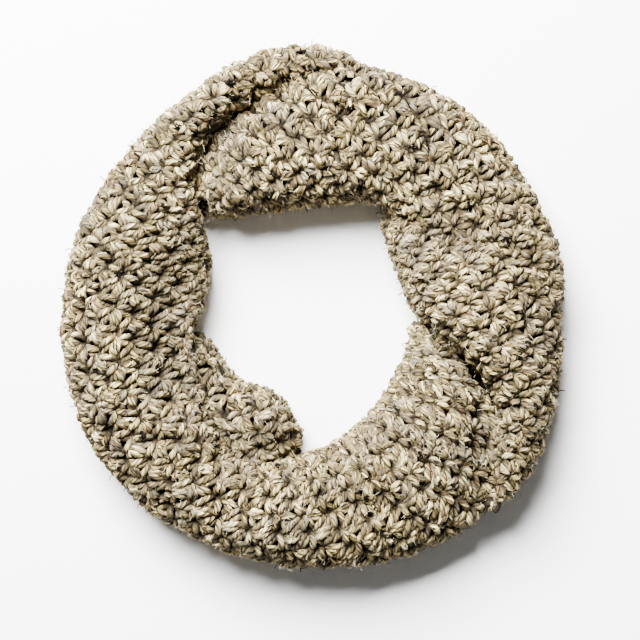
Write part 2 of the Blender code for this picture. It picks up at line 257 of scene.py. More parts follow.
def read_patch(patch):
    """Sections at even bearings, each measured along its own line from the crown."""
    stations = []
    for run in patch.runs:
        count = max(2, round(abs(run.last - run.first) / SECTION_TURN))
        stations += [(run, b) for b in np.linspace(run.first, run.last, count + 1)
                     if spine(run.node, b)]
    lines = [outer_line(run, bearing) for run, bearing in stations]
    crowns = np.array([line[np.argmax(line[:, 1]), 0] for line, _ in lines])
    crowns = smooth(crowns, SOFTEN_CROWN)
    grid, low, high = [], [], []
    for (line, cut), crown in zip(lines, crowns):
        line = smooth(line, SOFTEN_LINE)
        before = carried_on(line[::-1], CARRIED_BEFORE, -1 / TURN_UNDER if cut else 0)[::-1]
        after = carried_on(line, CARRIED_AFTER, 0)
        path = np.vstack([before, line, after])
        s = np.concatenate([[0], np.cumsum(np.hypot(*np.diff(path, axis=0).T))])
        first, last = s[len(before)], s[len(before) + len(line) - 1]
        top = np.arange(len(before), len(before) + len(line))
        above = top[line[:, 1] > CROWN_FROM * line[:, 1].max()]
        at_crown = s[above[np.argmin(np.abs(path[above, 0] - crown))]]
        grid.append(np.column_stack([np.interp(s_steps, s - at_crown, path[:, k])
                                     for k in range(2)]))
        low.append(first - at_crown)
        high.append(last - at_crown)
    grid = smooth(np.array(grid), SOFTEN_FORM)
    bearings = np.array([b for _, b in stations])
    turn = np.radians(bearings)[:, None]
    points = np.stack([grid[:, :, 0] * np.cos(turn), grid[:, :, 0] * np.sin(turn),
                       grid[:, :, 1]], axis=2) + RING_MIDDLE / MM
    stride = np.linalg.norm(np.diff(points, axis=0), axis=2)
    middle = int(np.argmin(np.abs(s_steps)))
    even = np.sqrt(stride * stride[:, middle:middle + 1])
    across = np.vstack([np.zeros(len(s_steps)), np.cumsum(even, axis=0)])
    across -= across[np.argmin(np.abs(bearings - patch.anchor))]
    crown = across[:, middle:middle + 1]
    most = MOST_SHEAR * np.maximum(np.abs(s_steps), 1)
    across = crown + most * np.tanh((across - crown) / most)
    cut = np.array([c for _, c in lines])
    near = (s_steps[None, :] - np.array(low)[:, None]) / DIVE_REACH
    open_yet = np.clip((bearings - patch.closed) / (patch.deep - patch.closed), 0, 1)
    dive = patch.dive * (cut * open_yet)[:, None] * np.exp(-np.maximum(near, 0) ** 2)
    wide = np.clip((np.array(high) - np.array(low)) / FIN_WIDE, 0, 1)
    tip = bearings < 0.5 * (bearings[0] + bearings[-1])
    dive = dive + FIN_SINK * (tip * (1 - wide))[:, None]
    sunk = np.zeros_like(dive)
    for crease in (c for c in CREASES if c.patch == patch.name):
        share = (bearings - crease.first) / (crease.last - crease.first)
        middle_s = crease.s_first + share * (crease.s_last - crease.s_first)
        fade = np.sin(math.pi * np.clip(share, 0, 1)) ** CREASE_FADE
        off = (s_steps[None, :] - middle_s[:, None]) / crease.wide
        sunk = sunk + crease.deep * fade[:, None] * np.exp(-off ** 2)
    points[:, :, 2] -= sunk * np.clip(outwards(points)[:, :, 2], 0, 1)
    points = points - outwards(points) * smooth(dive, SOFTEN_FORM)[:, :, None]
    return Cloth(patch.name, bearings, s_steps, points, smooth(np.array(low), 1),
                 smooth(np.array(high), 1), cut, across, 1)


UNDER_START = 280.0    # degrees, where the underside's rows begin and end
UNDER_LOOK = 0.0012    # metres above the table, where the feet are looked for
UNDER_FROM = 0.02      # metres from the ring's middle, where the looking starts
UNDER_INNER = 8.5      # mm from the foot at the hole to the first row between the feet
UNDER_OUTER = 6.0      # and from the foot outside to the last one
UNDER_HEIGHT = 3.0     # mm, the underside's outer form above the table
UNDER_REACH = 60.0     # mm from its middle line to its last point either way


def underside():
    """The hidden folds' underside: flat crochet between the feet, facing the table.

    Where a look slips between two stretches and finds the far foot, its neighbours say.
    """
    bearings = np.arange(UNDER_START, UNDER_START - 360.1, -2 * SECTION_TURN)
    inner, outer = [], []
    for bearing in bearings:
        feet = []
        for start, end in ((UNDER_FROM, FAR), (FAR, UNDER_FROM)):
            begin = place(bearing, start, UNDER_LOOK)
            aim = (place(bearing, end, UNDER_LOOK) - begin).normalized()
            hits = [wall.ray_cast(begin, aim, FAR)[0] for name, wall in walls.items()
                    if name != "hidden_layers"]
            near = min((h for h in hits if h), key=lambda h: (h - begin).length)
            feet.append(np.linalg.norm(np.array(near)[:2] - RING_MIDDLE[:2]) / MM)
        inner.append(feet[0] + UNDER_INNER)
        outer.append(feet[1] - UNDER_OUTER)
    inner, outer = np.array(inner), np.array(outer)
    halfway = 0.5 * np.median(inner + outer)
    places = np.arange(len(bearings))
    inner = np.interp(places, places[inner < halfway], inner[inner < halfway])
    outer = np.interp(places, places[outer > halfway], outer[outer > halfway])
    middle = smooth(0.5 * (inner + outer), SOFTEN_CROWN)
    s = np.arange(-UNDER_REACH, UNDER_REACH + STEP, STEP)
    radius = middle[:, None] - s[None, :]
    turn = np.radians(bearings)[:, None]
    points = np.stack([radius * np.cos(turn), radius * np.sin(turn),
                       np.full_like(radius, UNDER_HEIGHT)], axis=2) + RING_MIDDLE / MM
    along = np.radians(np.abs(bearings - bearings[0]))[:, None] * middle.mean()
    return Cloth("underside", bearings, s, points, middle - outer, middle - inner,
                 np.zeros(len(bearings), bool), np.broadcast_to(along, radius.shape).copy(), -1)


# %% All the cloths
cloths = {patch.name: read_patch(patch) for patch in PATCHES}
cloths["underside"] = underside()
for cloth in cloths.values():
    print(f"{cloth.name}: {len(cloth.bearings)} sections, "
          f"{np.ptp(cloth.across[:, len(cloth.s) // 2]):.0f} mm along the crown, "
          f"{(cloth.high - cloth.low).max():.0f} mm across at the widest")

# %% [markdown]
# ## The form as a mesh that stitches can find
#
# Each lattice becomes a mesh whose UV map is the cloth laid flat: U runs along the rows
# of crochet and V across them, both in metres from the middle of the map. Asking this
# mesh for the point at a given U and V wraps anything flat onto the scarf. An attribute
# holds the direction that points out of the cloth.

# %% Lattice to mesh
MAP_SPAN = 1.6         # metres of cloth from one side of the UV map to the other


def lattice_mesh(cloth):
    """The guide that stitches are wrapped onto, removed when they are done."""
    rows, columns = cloth.grid.shape[:2]
    index = np.arange(rows * columns).reshape(rows, columns)
    quads = np.stack([index[:-1, :-1], index[1:, :-1], index[1:, 1:], index[:-1, 1:]], axis=2)
    mesh = new_mesh(cloth.name + "_guide", (cloth.grid.reshape(-1, 3) * MM).tolist(),
                    faces=quads.reshape(-1, 4).tolist())
    normal = outwards(cloth.grid) * cloth.facing
    out = mesh.attributes.new("outwards", "FLOAT_VECTOR", "POINT")
    out.data.foreach_set("vector", normal.astype(np.float32).ravel())
    flat = np.stack([cloth.across, np.broadcast_to(cloth.s, cloth.across.shape)], axis=2)
    flat = flat.reshape(-1, 2) * MM / MAP_SPAN + 0.5
    corner = np.empty(len(mesh.loops), np.int32)
    mesh.loops.foreach_get("vertex_index", corner)
    mesh.uv_layers.new(name="flat_cloth").data.foreach_set(
        "uv", flat[corner].astype(np.float32).ravel())
    return new_object(cloth.name + "_guide", mesh)


guides = {name: lattice_mesh(cloth) for name, cloth in cloths.items()}

# %% [markdown]
# ## The stitch
#
# Linen stitch is a single crochet and a chain, over and over, and each row is worked
# into the chain spaces of the row before. Seen from the front, four strands make up a
# row. One zigzags: it goes down into a space, up as the leg of a stitch, down into the
# next, and a second leg follows it closely. Two more lie along the top and cross at every
# space, which gives the oval chain links. Sine waves draw all four, so a strand is a
# short list of sizes.

# %% Sizes of the stitch
STITCH = 17.6          # mm from one space to the next along a row
ROW = 11.3             # mm from one row to the next
YARN = 2.15            # mm, the yarn's radius
THICK_THIN = 0.2       # how much that radius comes and goes, as a share
LAY = -2.2             # mm, the middle of the yarn below the cloth's outer form
PLY_TURN = 14.0        # mm of yarn for one whole twist of its plies
RING_STEP = 2.5        # mm between the rings of the yarn's tube
SWELLS = 0.09          # thick and thin places to a millimetre
ROW_APART = 331.0      # mm further along its yarn that each row starts, so that none match
SPACE_WIDE = 1.1       # mm that strands are drawn aside by a space
SPACE_DEEP = 1.3       # mm that they are drawn down into it
BELOW_TABLE = -1.0     # mm, yarn whose middle would be lower than this isn't made
RESTING = 0.2          # mm, and no part of the yarn's surface lies lower than this
WANDER = 6.0           # mm that stitches stray, neighbours together
STRAY = 2.2            # mm that each strand strays by itself
PROFILE = 10           # corners round the yarn, two for each ply
GROOVE = 0.86          # the outline between two plies, as a share of the yarn's radius
RIDGE = 0.2            # and how much further out each ply stands

Strand = namedtuple("Strand", "name shift start rise skew slide lift once twice samples")
STRANDS = [
    #      name       shift start  rise  skew slide lift  once  twice samples
    Strand("legs",      0.0,  0.0, 11.3,  0.0,  0.0, -0.1,  0.5, -2.2, 26.0),
    Strand("legs_two",  0.2,  0.6, 10.2,  0.8,  0.0, -0.9,  0.4, -1.8, 26.0),
    Strand("link_far",  0.0, 13.5, -2.2,  1.2,  0.6, -0.1,  2.1,  0.3, 16.0),
    Strand("link_near", 0.0,  9.1,  2.2,  1.2, -0.6, -0.1,  2.1,  0.3, 16.0),
]


# %% Adding nodes to a tree
MATH, VECTOR_MATH = "ShaderNodeMath", "ShaderNodeVectorMath"
SPLIT, JOIN = "ShaderNodeSeparateXYZ", "ShaderNodeCombineXYZ"
NOISE, RANGE = "ShaderNodeTexNoise", "ShaderNodeMapRange"
POSITION, MOVE = "GeometryNodeInputPosition", "GeometryNodeSetPosition"
NAMED, CAPTURE = "GeometryNodeInputNamedAttribute", "GeometryNodeCaptureAttribute"
RESAMPLE, DELETE = "GeometryNodeResampleCurve", "GeometryNodeDeleteGeometry"
REALIZE = "GeometryNodeRealizeInstances"
NOISE_MIDDLE = (0.5, 0.5, 0.5)


def add(tree, kind, inputs=(), captured=(), **settings):
    """A node of that kind, with its settings, its input values and the links into it.

    Inputs come in order, or by name or number in a dict. A node among them stands for its
    first output in use. Captured gives the kinds and names of the fields to keep.
    """
    node = tree.nodes.new(kind)
    for key, value in settings.items():
        setattr(node, key, value)
    for field_kind, name in captured:
        node.capture_items.new(field_kind, name)
    for key, value in inputs.items() if isinstance(inputs, dict) else enumerate(inputs):
        if isinstance(value, bpy.types.Node):
            value = next(output for output in value.outputs if output.enabled)
        if isinstance(value, bpy.types.NodeSocket):
            tree.links.new(value, node.inputs[key])
        else:
            node.inputs[key].default_value = value
    return node


def work_out(tree, known, steps):
    """Sums in a tree; gives what was known and each step's result, by name.

    A step is its name, its operation, and numbers or names of what is known by then.
    """
    known = dict(known)
    for name, operation, *values in steps:
        known[name] = add(tree, MATH, [known.get(value, value) for value in values],
                          operation=operation)
    return known


def new_tree(name, sockets):
    """An empty Geometry Nodes tree with named inputs."""
    tree = bpy.data.node_groups.new(name, "GeometryNodeTree")
    tree.interface.new_socket("Geometry", in_out="INPUT", socket_type="NodeSocketGeometry")
    for label, kind in sockets:
        tree.interface.new_socket(label, in_out="INPUT", socket_type="NodeSocket" + kind)
    tree.interface.new_socket("Geometry", in_out="OUTPUT", socket_type="NodeSocketGeometry")
    return tree, add(tree, "NodeGroupInput").outputs


def end_tree(tree, mesh, material):
    """Rest on the table what would sink into it, and give the mesh its material."""
    at = add(tree, SPLIT, [add(tree, POSITION)]).outputs
    height = add(tree, MATH, [at["Z"], RESTING * MM], operation="MAXIMUM")
    rested = add(tree, MOVE, {"Geometry": mesh,
                              "Position": add(tree, JOIN, [at["X"], at["Y"], height])})
    worn = add(tree, "GeometryNodeSetMaterial", {"Geometry": rested, "Material": material})
    add(tree, "NodeGroupOutput", {"Geometry": worn})
    return tree


# %% A strand's path
# On the flat cloth, in mm: x counts stitches along the guide line and y counts rows, and
# the names with a capital are the strand's own sizes.
PATH = [
    ("odd", "FLOORED_MODULO", "y", 2.0),          # every other row is half a stitch on
    ("hand", "MULTIPLY_ADD", "odd", -2.0, 1.0),   # and leans the other way
    ("shifted", "ADD", "x", "Shift"),
    ("half", "MULTIPLY", "odd", 0.5),
    ("turns", "SUBTRACT", "shifted", "half"),
    ("phase", "MULTIPLY", math.tau, "turns"),
    ("phase 2", "MULTIPLY", "phase", 2.0),
    ("cos 1", "COSINE", "phase"),
    ("sin 1", "SINE", "phase"),
    ("cos 2", "COSINE", "phase 2"),
    ("sin 2", "SINE", "phase 2"),

    # up the row from Start, by Rise and back once a stitch
    ("wave", "MULTIPLY_ADD", "cos 1", -0.5, 0.5),
    ("risen", "MULTIPLY", "Rise", "wave"),
    ("from start", "ADD", "risen", "Start"),
    ("skew", "MULTIPLY", "sin 1", "Skew"),
    ("lean", "MULTIPLY", "skew", "hand"),
    ("up", "ADD", "from start", "lean"),
    ("row base", "MULTIPLY", "y", ROW),
    ("across 0", "SUBTRACT", "row base", "up"),
    ("sway", "MULTIPLY", "sin 2", "Slide"),
    ("slide", "MULTIPLY", "sway", "hand"),
    ("along 0", "MULTIPLY_ADD", "x", STITCH, "slide"),

    # out of the cloth, once and twice a stitch
    ("out 1", "MULTIPLY", "cos 1", "Once"),
    ("out 2", "MULTIPLY", "cos 2", "Twice"),
    ("bulge", "ADD", "out 1", "out 2"),
    ("lifted", "ADD", "bulge", "Lift"),
    ("out 0", "ADD", "lifted", LAY),

    # every space is a hole: strands near one are drawn aside and down into it
    ("stitches", "DIVIDE", "along 0", STITCH),
    ("turn a", "MULTIPLY", "stitches", math.tau),
    ("rows", "DIVIDE", "across 0", ROW),
    ("turn c", "MULTIPLY", "rows", math.pi),
    ("cos a", "COSINE", "turn a"),
    ("sin a", "SINE", "turn a"),
    ("cos c", "COSINE", "turn c"),
    ("sin c", "SINE", "turn c"),
    ("aside", "MULTIPLY", "sin a", "cos c"),
    ("along", "MULTIPLY_ADD", "aside", SPACE_WIDE, "along 0"),
    ("apart", "MULTIPLY", "cos a", "sin c"),
    ("across", "MULTIPLY_ADD", "apart", SPACE_WIDE, "across 0"),
    ("at a space", "MULTIPLY", "cos a", "cos c"),
    ("near", "MAXIMUM", "at a space", 0.0),
    ("near 2", "MULTIPLY", "near", "near"),
    ("out", "MULTIPLY_ADD", "near 2", -SPACE_DEEP, "out 0"),
]
# The noise that a path follows: its seed, its size in mm, how many waves there are to a
# millimetre, and its share along, across and out of the cloth.
STRAYING = [("Seed", WANDER, 0.07, (1.0, 1.0, 0.8)),
            ("Strand seed", STRAY, 0.16, (1.0, 1.0, 1.0))]


def stitch_path(tree, given):
    """Where a strand lies on the flat cloth, in mm along, across and out, and its row."""
    where = add(tree, SPLIT, [add(tree, POSITION)]).outputs
    path = work_out(tree, {**{size.name: size for size in given},
                           "x": where["X"], "y": where["Y"]}, PATH)
    strays = []
    for seed, size, waves, share in STRAYING:
        spot = add(tree, JOIN, [path["along"], path["across"], given[seed]])
        cloud = add(tree, NOISE, {"Vector": spot, "Scale": waves, "Detail": 1.0})
        stray = add(tree, VECTOR_MATH, [cloud.outputs["Color"], NOISE_MIDDLE],
                    operation="SUBTRACT")
        stray = add(tree, VECTOR_MATH, {0: stray, "Scale": size}, operation="SCALE")
        strays.append(add(tree, VECTOR_MATH, [stray, share], operation="MULTIPLY"))
    strayed = add(tree, VECTOR_MATH, strays, operation="ADD")
    straight = add(tree, JOIN, [path["along"], path["across"], path["out"]])
    return add(tree, VECTOR_MATH, [straight, strayed], operation="ADD"), where["Y"]


# %% The tree that crochets a strand
def yarn_profile(tree, given):
    """The yarn's outline: a ring of corners, every other one drawn in between two plies."""
    size = work_out(tree, {"corner": add(tree, "GeometryNodeInputIndex"),
                           "Corners": given["Corners"]}, [
        ("radius", "MULTIPLY", YARN, MM),
        ("ridge", "MODULO", "corner", 2.0),
        ("share", "MULTIPLY_ADD", "ridge", RIDGE, GROOVE),
        ("turned", "MULTIPLY", "corner", math.tau),
        ("around", "DIVIDE", "turned", "Corners")])
    circle = add(tree, "GeometryNodeCurvePrimitiveCircle",
                 {"Resolution": given["Corners"], "Radius": size["radius"]})
    drawn_in = add(tree, VECTOR_MATH, {0: add(tree, POSITION), "Scale": size["share"]},
                   operation="SCALE")
    plies = add(tree, MOVE, {"Geometry": circle, "Position": drawn_in})
    return add(tree, CAPTURE,
               {"Geometry": plies, "Around": size["around"], "Ridge": size["ridge"]},
               [("FLOAT", "Around"), ("FLOAT", "Ridge")])


def crochet_tree():
    """Rows of guide lines in, in stitches along and rows up; twisted yarn on the cloth out."""
    own_sizes = [size.capitalize() for size in Strand._fields if size != "name"]
    tree, given = new_tree("crochet_strand", [
        ("Cloth", "Object"), ("Wool", "Material"), ("Corners", "Int"),
        *[(size, "Float") for size in [*own_sizes, "Ring step", "Seed", "Strand seed"]]])
    lines = add(tree, "GeometryNodeMeshToCurve", {"Mesh": given["Geometry"]})
    apart = add(tree, MATH, [1.0, given["Samples"]], operation="DIVIDE")
    even = add(tree, RESAMPLE, {"Curve": lines, "Length": apart}, mode="LENGTH")
    flat, row = stitch_path(tree, given)
    even = add(tree, CAPTURE, {"Geometry": even, "Row": row, "Flat": flat},
               [("FLOAT", "Row"), ("VECTOR", "Flat")])
    flat = even.outputs["Flat"]

    # each point's place on the flat cloth finds its place and its way out on the form
    cloth = add(tree, "GeometryNodeObjectInfo", {"Object": given["Cloth"]},
                transform_space="ORIGINAL").outputs["Geometry"]
    shrink = MM / MAP_SPAN
    spot = add(tree, VECTOR_MATH, [flat, (shrink, shrink, 0.0), (0.5, 0.5, 0.0)],
               operation="MULTIPLY_ADD")
    flat_map, outward = (add(tree, NAMED, {"Name": name}, data_type="FLOAT_VECTOR")
                         for name in ("flat_cloth", "outwards"))
    ground, normal = (add(tree, "GeometryNodeSampleUVSurface",
                          {"Mesh": cloth, "Value": value, 2: flat_map, "Sample UV": spot},
                          data_type="FLOAT_VECTOR")
                      for value in (add(tree, POSITION), outward))
    kept = add(tree, CAPTURE,
               {"Geometry": even, "Ground": ground,
                "Normal": add(tree, VECTOR_MATH, [normal], operation="NORMALIZE"),
                "Row": even.outputs["Row"], "Out": add(tree, SPLIT, [flat]).outputs["Z"]},
               [("VECTOR", "Ground"), ("VECTOR", "Normal"), ("FLOAT", "Row"), ("FLOAT", "Out")])
    off_it = add(tree, "FunctionNodeBooleanMath", [ground.outputs["Is Valid"]], operation="NOT")
    on_it = add(tree, DELETE, {"Geometry": kept, "Selection": off_it}, domain="POINT")
    lift = add(tree, MATH, [kept.outputs["Out"], MM], operation="MULTIPLY")
    raised = add(tree, VECTOR_MATH, {0: kept.outputs["Normal"], "Scale": lift},
                 operation="SCALE")
    wrapped = add(tree, VECTOR_MATH, [kept.outputs["Ground"], raised], operation="ADD")
    laid = add(tree, MOVE, {"Geometry": on_it, "Position": wrapped})
    height = add(tree, SPLIT, [add(tree, POSITION)]).outputs["Z"]
    too_low = add(tree, MATH, [height, BELOW_TABLE * MM], operation="LESS_THAN")
    above = add(tree, DELETE, {"Geometry": laid, "Selection": too_low}, domain="POINT")

    # the yarn's twist, and its thick and thin places
    size = work_out(tree, {"length": add(tree, "GeometryNodeSplineParameter").outputs["Length"],
                           "row": kept.outputs["Row"], "step": given["Ring step"]}, [
        ("ring step", "MULTIPLY", "step", MM),
        ("mm", "DIVIDE", "length", MM),
        ("own", "MULTIPLY_ADD", "row", ROW_APART, "mm"),
        ("wound", "MULTIPLY", "own", -math.tau),
        ("turns", "DIVIDE", "wound", PLY_TURN)])
    rings = add(tree, RESAMPLE, {"Curve": above, "Length": size["ring step"]}, mode="LENGTH")
    tilted = add(tree, "GeometryNodeSetCurveTilt", {"Curve": rings, "Tilt": size["turns"]})
    cloud = add(tree, NOISE, {"Vector": add(tree, JOIN, [size["own"], given["Strand seed"], 0.0]),
                              "Scale": SWELLS, "Detail": 1.0})
    swell = add(tree, VECTOR_MATH, [cloud.outputs["Color"], NOISE_MIDDLE], operation="SUBTRACT")
    swell = add(tree, MATH, [add(tree, SPLIT, [swell]), 4 * THICK_THIN, 1.0],
                operation="MULTIPLY_ADD")
    thick = add(tree, "GeometryNodeSetCurveRadius", {"Curve": tilted, "Radius": swell})
    line = add(tree, CAPTURE, {"Geometry": thick, "Length": size["own"]}, [("FLOAT", "Length")])
    outline = yarn_profile(tree, given)
    mesh = add(tree, "GeometryNodeCurveToMesh",
               {"Curve": line, "Profile Curve": outline, "Fill Caps": True})

    # where each point is on its yarn, and how high it lies over the cloth's form
    off = add(tree, VECTOR_MATH, [add(tree, POSITION), kept.outputs["Ground"]],
              operation="SUBTRACT")
    off = add(tree, VECTOR_MATH, [off, kept.outputs["Normal"]], operation="DOT_PRODUCT")
    at = work_out(tree, {"around": outline.outputs["Around"], "off": off.outputs["Value"]}, [
        ("cos", "COSINE", "around"), ("sin", "SINE", "around"), ("lies", "DIVIDE", "off", MM)])
    for name, parts in (("yarn", [line.outputs["Length"], at["cos"], at["sin"]]),
                        ("lie", [at["lies"], outline.outputs["Ridge"], at["around"]])):
        mesh = add(tree, "GeometryNodeStoreNamedAttribute",
                   {"Geometry": mesh, "Name": name, "Value": add(tree, JOIN, parts)},
                   data_type="FLOAT_VECTOR", domain="POINT")
    soft = add(tree, "GeometryNodeSetShadeSmooth", {"Geometry": mesh})
    return end_tree(tree, add(tree, REALIZE, {"Geometry": soft}), given["Wool"])


crochet = crochet_tree()
print("crochet tree:", len(crochet.nodes), "nodes")


# %% Running a tree on an object
def run_tree(obj, tree, values):
    """Set the tree's inputs by name, evaluate it, and give back its result as a mesh."""
    modifier = obj.modifiers.new(tree.name, "NODES")
    modifier.node_group = tree
    for item in tree.interface.items_tree:
        if item.in_out == "INPUT" and item.name in values:
            modifier[item.identifier] = values[item.name]
    evaluated = obj.evaluated_get(bpy.context.evaluated_depsgraph_get())
    mesh = bpy.data.meshes.new_from_object(evaluated)
    obj.modifiers.remove(modifier)
    return mesh


# %% [markdown]
# ## Wool
#
# Tweed yarn is spun from fleece of several shades, so each ply runs a little lighter,
# greyer or rustier than the next, and dark neps are caught in it. The tree stored where
# each point is on its yarn: millimetres along, and the direction round. Colours and
# fibres are drawn in those coordinates, so they follow the twist. Yarn that lies deep
# between its neighbours gets little light, and a darker shade says so where the
# renderer's own shadows are too shallow.

# %% Colour and the wool's material
def linear(code):
    """An sRGB hex colour as linear RGBA."""
    parts = [int(code[i:i + 2], 16) / 255 for i in (1, 3, 5)]
    return (*[c / 12.92 if c <= 0.04045 else ((c + 0.055) / 1.055) ** 2.4 for c in parts], 1)


def new_material(name):
    """A material with an empty tree."""
    material = bpy.data.materials.new(name)
    material.use_nodes = True
    material.node_tree.nodes.clear()
    return material, material.node_tree


def end_material(tree, inputs):
    """The tree's surface: one Principled shader with those inputs."""
    shader = add(tree, "ShaderNodeBsdfPrincipled", inputs)
    add(tree, "ShaderNodeOutputMaterial", {"Surface": shader})


# The shades that the plies are spun in, by the noise's value.
SHADES = [(0.38, "#2A2316"), (0.48, "#6E603B"), (0.56, "#BCA568"), (0.64, "#FFECB2")]

# What is spun in with them, and painted shade between fibres, laid on in this order. Its
# noise is drawn out along the plies: "along" and "around" scale it, per mm and for a turn
# round the yarn. As the noise goes from low to high, the colour's share goes from the
# first share to the second.
Layer = namedtuple("Layer", "along around scale detail low high first second code")
LAYERS = [
    Layer(0.03, 0.5, 1.7, 2.0, 0.56, 0.68, 0.0, 0.6, "#8E8C80"),     # grey fleece
    Layer(0.09, 1.0, 2.3, 2.0, 0.61, 0.69, 0.0, 0.55, "#B5835F"),    # rust
    Layer(0.25, 5.0, 1.0, 1.0, 0.35, 0.6, 0.6, 0.0, "#4A3F2E"),      # shade between fibres
    Layer(0.35, 1.2, 1.3, 0.0, 0.65, 0.675, 0.0, 1.0, "#16120E"),    # small black flecks
]
BLOTCHES = 38.0        # larger dull blotches, to a metre
DARK_PATCH_HEIGHT = 40     # mm above the table, the middle of each darker place
DARK_PATCH_WHOLE = 0.3     # and the share of its reach over which it is at its darkest
WOOL_ROUGH, WOOL_SHINE = 0.9, 0.08

# Darker patches, partly darker fleece and partly painted shade where the cloth slopes
# or folds away from the light: mm from the ring's middle, and how far each reaches.
DARK_FLEECE_AND_SHADE = [(-74, 26, 34), (-80, -10, 40), (-80, -46, 38), (-70, -72, 26), (84, 44, 30),
               (132, -20, 26), (-27, -74, 28), (-60, 112, 22), (110, -86, 24)]


def wool_material():
    """Tweed yarn, plied from carded fleece: matt, with soft streaks along its plies."""
    material, tree = new_material("tweed_wool_carded_and_plied")
    yarn, lie = (add(tree, "ShaderNodeAttribute", attribute_name=name).outputs["Vector"]
                 for name in ("yarn", "lie"))
    lies = add(tree, SPLIT, [lie]).outputs
    place = add(tree, "ShaderNodeTexCoord").outputs["Object"]

    def drawn_out(along, around, scale=1.0, detail=2.0):
        """Noise from 0 to 1, drawn out along the plies."""
        spot = add(tree, VECTOR_MATH, [yarn, (along, around, around)], operation="MULTIPLY")
        return add(tree, NOISE, {"Vector": spot, "Scale": scale, "Detail": detail})

    colour = add(tree, "ShaderNodeValToRGB", {"Fac": drawn_out(0.075, 0.8)})
    stops = colour.color_ramp.elements
    while len(stops) < len(SHADES):
        stops.new(0.5)
    for stop, (at, code) in zip(stops, SHADES):
        stop.position = at
        stop.color = linear(code)

    blotch = add(tree, NOISE, {"Vector": place, "Scale": BLOTCHES, "Detail": 1.0})
    laid_on = [(add(tree, RANGE, [blotch, 0.35, 0.6, 0.45, 0.0]), "#6F6752")]
    # darker patches: partly darker fleece, partly painted shade on slopes away from the light
    darker = 0.0
    for x, y, wide in DARK_FLEECE_AND_SHADE:
        away = add(tree, VECTOR_MATH, [place, (x * MM, y * MM, DARK_PATCH_HEIGHT * MM)],
                   operation="DISTANCE").outputs["Value"]
        near = add(tree, RANGE, [away, DARK_PATCH_WHOLE * wide * MM, wide * MM, 0.5, 0.0])
        darker = add(tree, MATH, [darker, near], operation="MAXIMUM")
    laid_on.append((darker, "#4C4536"))
    for layer in LAYERS:
        cloud = drawn_out(layer.along, layer.around, layer.scale, layer.detail)
        share = add(tree, RANGE, [cloud, layer.low, layer.high, layer.first, layer.second])
        laid_on.append((share, layer.code))
    # painted shade between the plies, made uneven along the yarn by noise, and painted
    # shade where the yarn lies deep in the cloth
    worn = add(tree, RANGE, [drawn_out(0.2, 2.0, detail=1.0), 0.35, 0.65, 0.45, 1.0])
    between = add(tree, RANGE, [lies["Y"], 0.0, 0.8, 0.75, 0.0])
    laid_on += [(add(tree, MATH, [between, worn], operation="MULTIPLY"), "#2A2218"),
                (add(tree, RANGE, [lies["X"], -3.0, 1.5, 0.98, 0.0]), "#15100A")]
    for share, code in laid_on:
        colour = add(tree, "ShaderNodeMix", {0: share, 6: colour, 7: linear(code)},
                     data_type="RGBA")

    bump = add(tree, "ShaderNodeBump", {"Height": drawn_out(0.4, 9.0), "Strength": 0.5,
                                        "Distance": 0.0006})
    end_material(tree, {"Base Color": colour, "Roughness": WOOL_ROUGH,
                        "Specular IOR Level": WOOL_SHINE, "Normal": bump})
    return material


def lining_material():
    """The cloth's inner half, seen only through its holes: the same wool in deep shade."""
    material, tree = new_material("tweed_wool_in_deep_shade")
    place = add(tree, "ShaderNodeTexCoord").outputs["Object"]
    cloud = add(tree, NOISE, {"Vector": place, "Scale": 300.0})
    colour = add(tree, "ShaderNodeMix",
                 {0: add(tree, RANGE, [cloud, 0.35, 0.7, 0.0, 1.0]), 6: linear("#0A0806"),
                  7: linear("#1C1710")}, data_type="RGBA")
    end_material(tree, {"Base Color": colour, "Roughness": 0.95, "Specular IOR Level": 0.05})
    return material


wool = wool_material()
shaded_wool = lining_material()

# %% [markdown]
# ## The inner half of the cloth
#
# Crochet is two strands thick. The outer strands are made one by one below. Behind
# them, one thin closed shell for each stretch stands for the inner half. It keeps light
# from showing through, and it is the sheet of cloth whose flat size is worked out.

# %% How far cloth runs on past a cut edge
MARGIN_CUT = 20.0      # mm that cloth runs on beneath a neighbour
MARGIN_BARE = 38.0     # mm that it runs on, to the table, where the neighbour has ended
BARE = {"rim": 315.0, "top": 86.0, "right": 6.0}   # degrees, where each one's has ended


def run_on(cloth, bearings, cut, otherwise):
    """Millimetres of cloth past its outer edge."""
    beneath = np.where(bearings < BARE.get(cloth.name, -math.inf), MARGIN_BARE, MARGIN_CUT)
    return np.where(cut, beneath, otherwise)


# %% Thin shells
SHELL_LAY = -6.0       # mm, the shell's outer face below the cloth's form
SHELL_THICK = 1.2      # mm
SHELL_EDGE = 4.0       # mm that a shell stops short of a foot
SHELL_LOWEST = 1.6     # mm above the table, its outer face's lowest point
ROOMY = 60.0           # mm across, under which a stretch has less room for its shell
LEAST_ROOM = 0.3       # of that depth, at a roll's tip


